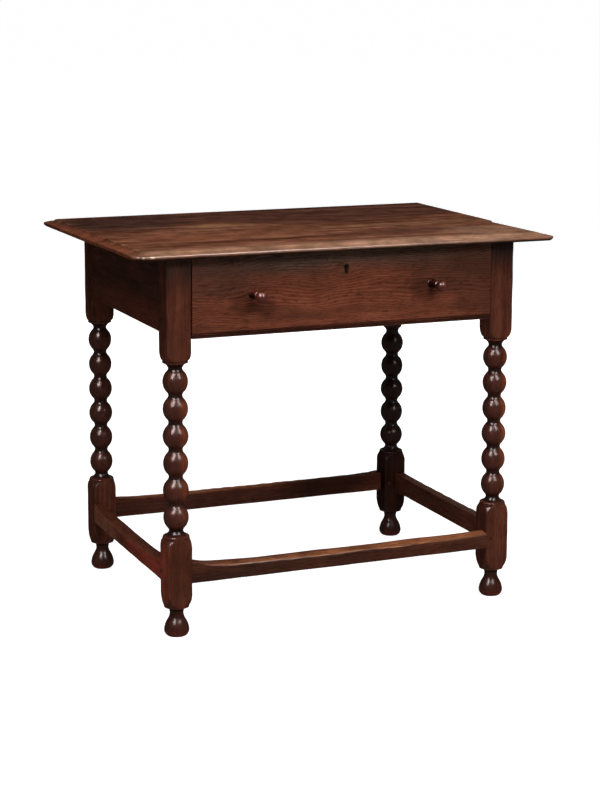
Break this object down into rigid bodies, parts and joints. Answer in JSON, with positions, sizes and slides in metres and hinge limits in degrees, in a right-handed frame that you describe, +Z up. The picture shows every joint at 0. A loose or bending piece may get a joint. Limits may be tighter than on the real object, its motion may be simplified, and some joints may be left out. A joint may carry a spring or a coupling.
{
  "type": "side table",
  "caption": "Oak side table with bobbin-turned legs, worn box stretchers, a moulded two-board top with clipped corners and one side-hung frieze drawer with ball knobs and a lock.",
  "frame": {"origin": "on the floor, under the middle of the table's outer box, knobs included", "axes": "+Z up, the drawer faces -Y and opens towards -Y, +X to the right of someone facing the drawer"},
  "size_m": [0.8397, 0.5989, 0.704],
  "materials": {
    "top_oak": "waxed, worn lighter along the front edge",
    "leg_oak": "polished by wax and wear",
    "drawer_front_oak": "waxed, streaky grain",
    "long_rail_oak": "waxed",
    "side_rail_oak": "waxed",
    "long_stretcher_oak": "worn and waxed",
    "side_stretcher_oak": "worn and waxed",
    "drawer_lining_oak": "dry, unpolished",
    "drawer_back_oak": "dry, unpolished",
    "runner_oak": "dry, rubbed smooth on top",
    "peg_oak": "waxed end grain",
    "knob_oak": "polished by hands",
    "liner_brass": "tarnished",
    "lock_iron": "wrought, dark",
    "nail_iron": "wrought, dark"
  },
  "bodies": {
    "frame": {"top_front_board": "top_oak", "top_rear_board": "top_oak", "leg_front_left": "leg_oak", "leg_front_right": "leg_oak", "leg_rear_left": "leg_oak", "leg_rear_right": "leg_oak", "rear_rail": "long_rail_oak", "side_rail_left": "side_rail_oak", "side_rail_right": "side_rail_oak", "stretcher_front": "long_stretcher_oak", "stretcher_rear": "long_stretcher_oak", "stretcher_left": "side_stretcher_oak", "stretcher_right": "side_stretcher_oak", "drawer_runner_left": "runner_oak", "drawer_runner_right": "runner_oak", "top_pegs": "peg_oak", "rail_pegs": "peg_oak", "stretcher_pegs": "peg_oak", "runner_nails": "nail_iron"},
    "drawer": {"drawer_front": "drawer_front_oak", "drawer_side_left": "drawer_lining_oak", "drawer_side_right": "drawer_lining_oak", "drawer_back": "drawer_back_oak", "drawer_bottom_board_1": "drawer_lining_oak", "drawer_bottom_board_2": "drawer_lining_oak", "drawer_bottom_board_3": "drawer_lining_oak", "drawer_nails": "nail_iron", "knob_left": "knob_oak", "knob_right": "knob_oak", "keyhole_liner": "liner_brass", "lock_plate": "lock_iron", "lock_bolt_guide": "lock_iron", "lock_key_pin": "lock_iron", "lock_spring": "lock_iron", "lock_nails": "nail_iron"},
    "lock_bolt": {"lock_bolt": "lock_iron"}
  },
  "joints": [
    {"name": "drawer_slide", "type": "slide", "parent": "frame", "child": "drawer", "axis": [0, -1, 0], "range_m": [0, 0.33]},
    {"name": "lock_bolt_slide", "type": "slide", "parent": "drawer", "child": "lock_bolt", "axis": [0, 0, 1], "range_m": [0, 0.008]}
  ]
}
